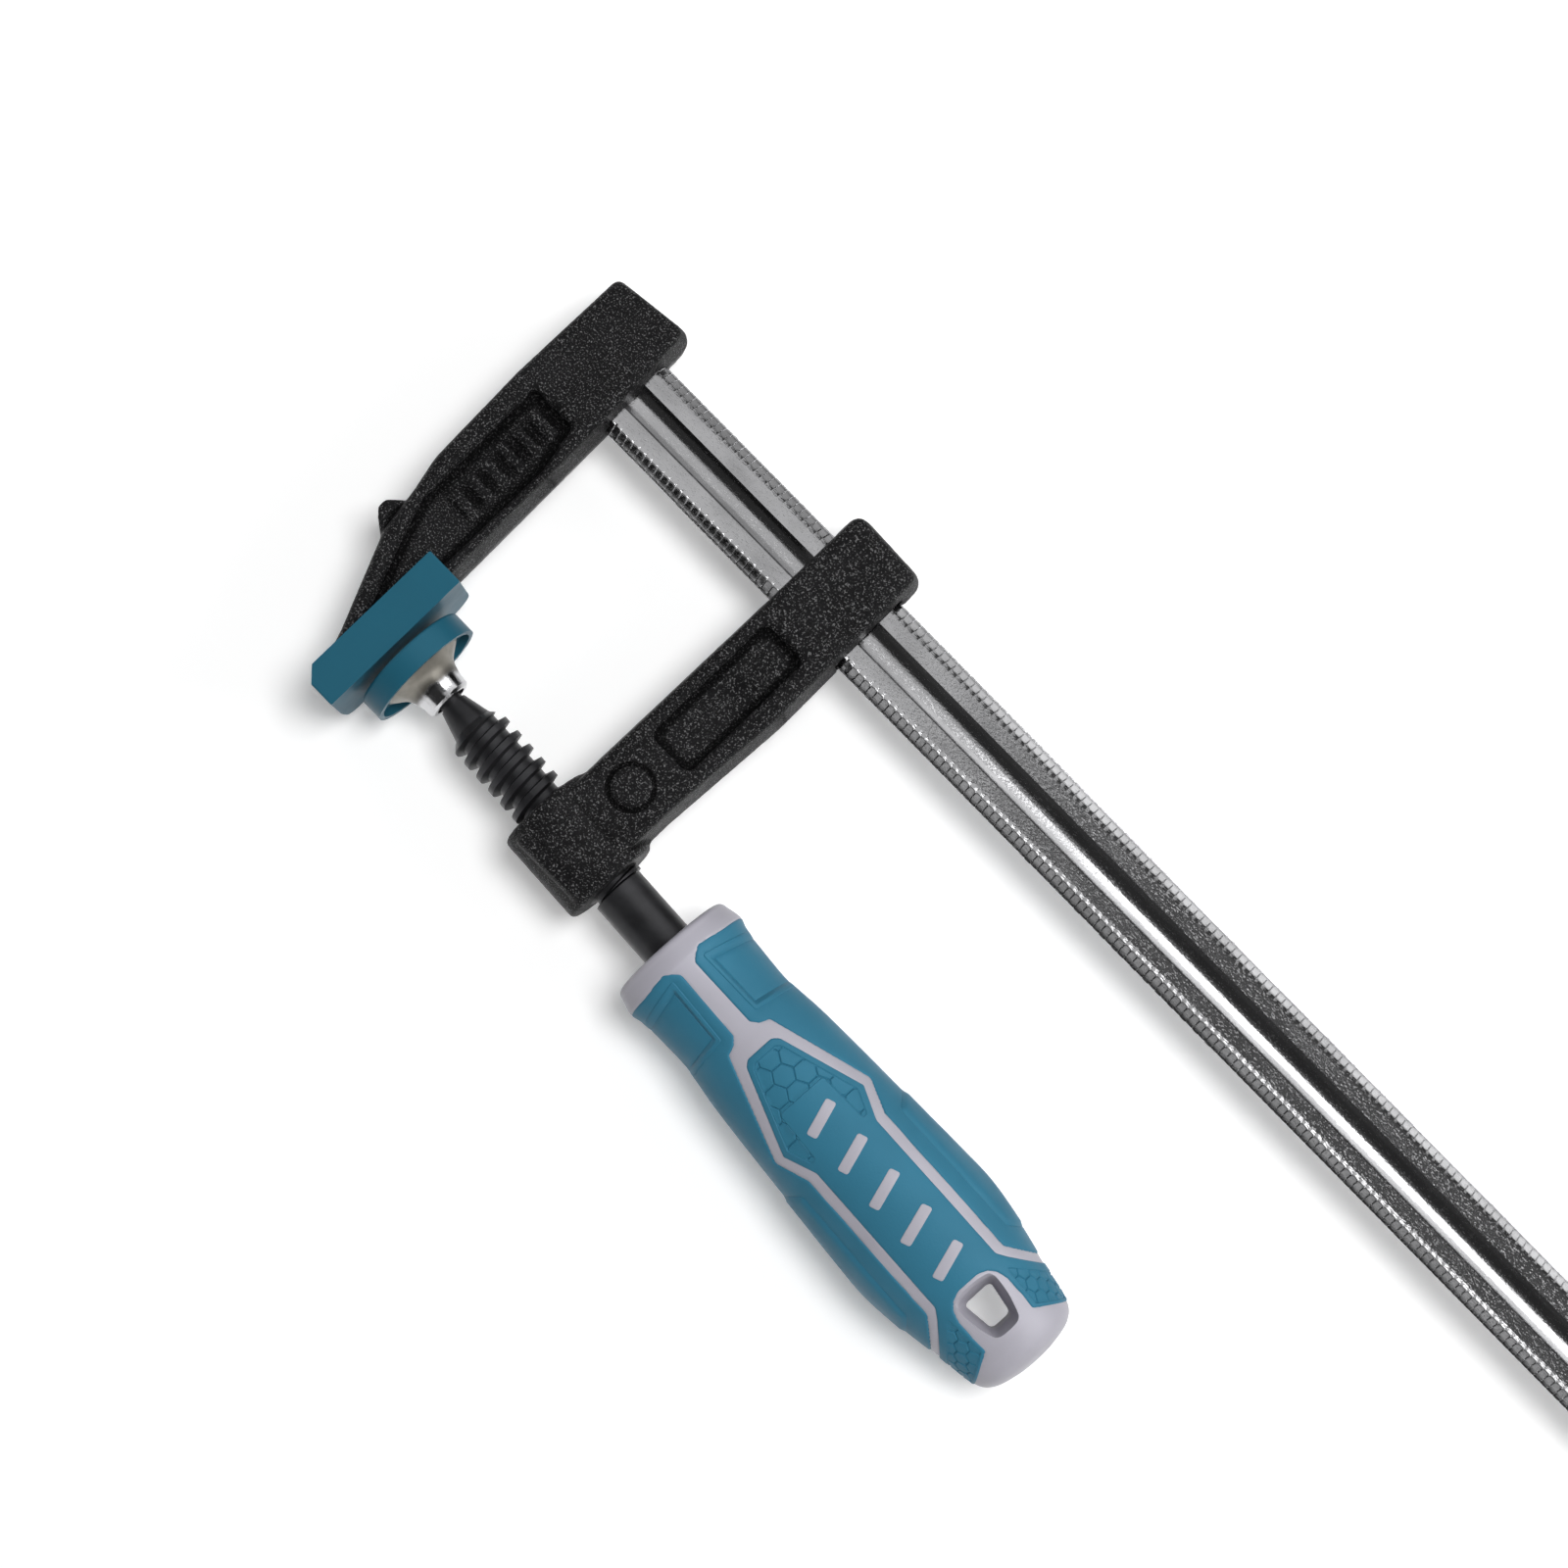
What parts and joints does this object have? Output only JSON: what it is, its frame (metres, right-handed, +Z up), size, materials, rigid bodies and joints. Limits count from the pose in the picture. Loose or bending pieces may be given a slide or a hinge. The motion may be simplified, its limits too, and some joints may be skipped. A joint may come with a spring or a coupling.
{
  "type": "f clamp",
  "caption": "Bar clamp with a fixed jaw and slip-on pad, and a jaw that slides on a grooved, serrated rail and carries a threaded spindle, a swivel pad and a soft-grip handle",
  "frame": {"origin": "centre of the bottom of the clamp's box, with the clamp lying on its flat side, closed up", "axes": "+X runs along the rail from the fixed jaw to its free end, the jaws reach towards -Y, +Z is up"},
  "size_m": [0.2608, 0.0902, 0.0278],
  "materials": {
    "rail_steel": "bright zinc-plated, serrated edges",
    "pin_steel": "bare, ground",
    "casting": "black powder coat with a fine sand texture",
    "spindle_steel": "satin black oxide, oiled",
    "pad_steel": "matte zinc",
    "pad_plastic": "moulded, satin",
    "liner_plastic": "natural nylon",
    "handle_plastic": "moulded, fine texture",
    "grip_rubber": "soft moulded grip with a honeycomb texture"
  },
  "bodies": {
    "bar": {"rail": "rail_steel", "rail_stop_pin": "pin_steel", "fixed_jaw": "casting", "fixed_jaw_cap": "pad_plastic"},
    "sliding_jaw": {"sliding_jaw": "casting"},
    "seat": {"ball_seat": "liner_plastic"},
    "spindle": {"spindle": "spindle_steel", "handle_core": "handle_plastic", "grip_wing_right": "grip_rubber", "grip_wing_left": "grip_rubber", "grip_panel": "grip_rubber"},
    "pad": {"pad_plate": "pad_steel", "pad_cover": "pad_plastic"}
  },
  "joints": [
    {"name": "jaw_slide", "type": "slide", "parent": "bar", "child": "sliding_jaw", "axis": [1, 0, 0], "range_m": [0, 0.1755]},
    {"name": "spindle_feed", "type": "slide", "parent": "sliding_jaw", "child": "seat", "axis": [0.9991, -0.0427, 0], "range_m": [0, 0.02301]},
    {"name": "spindle_turn", "type": "hinge", "parent": "seat", "child": "spindle", "pos_m": [-0.10191, -0.02599, 0.01389], "axis": [0.9991, -0.0427, 0], "range_deg": [0, 2760]},
    {"name": "pad_tilt", "type": "hinge", "parent": "seat", "child": "pad", "pos_m": [-0.10191, -0.02599, 0.01389], "axis": [0, 0, 1], "range_deg": [-8, 8]}
  ],
  "couplings": [
    {"joint": "spindle_feed", "follows": "spindle_turn", "m_per_rad": 0.00047746}
  ]
}
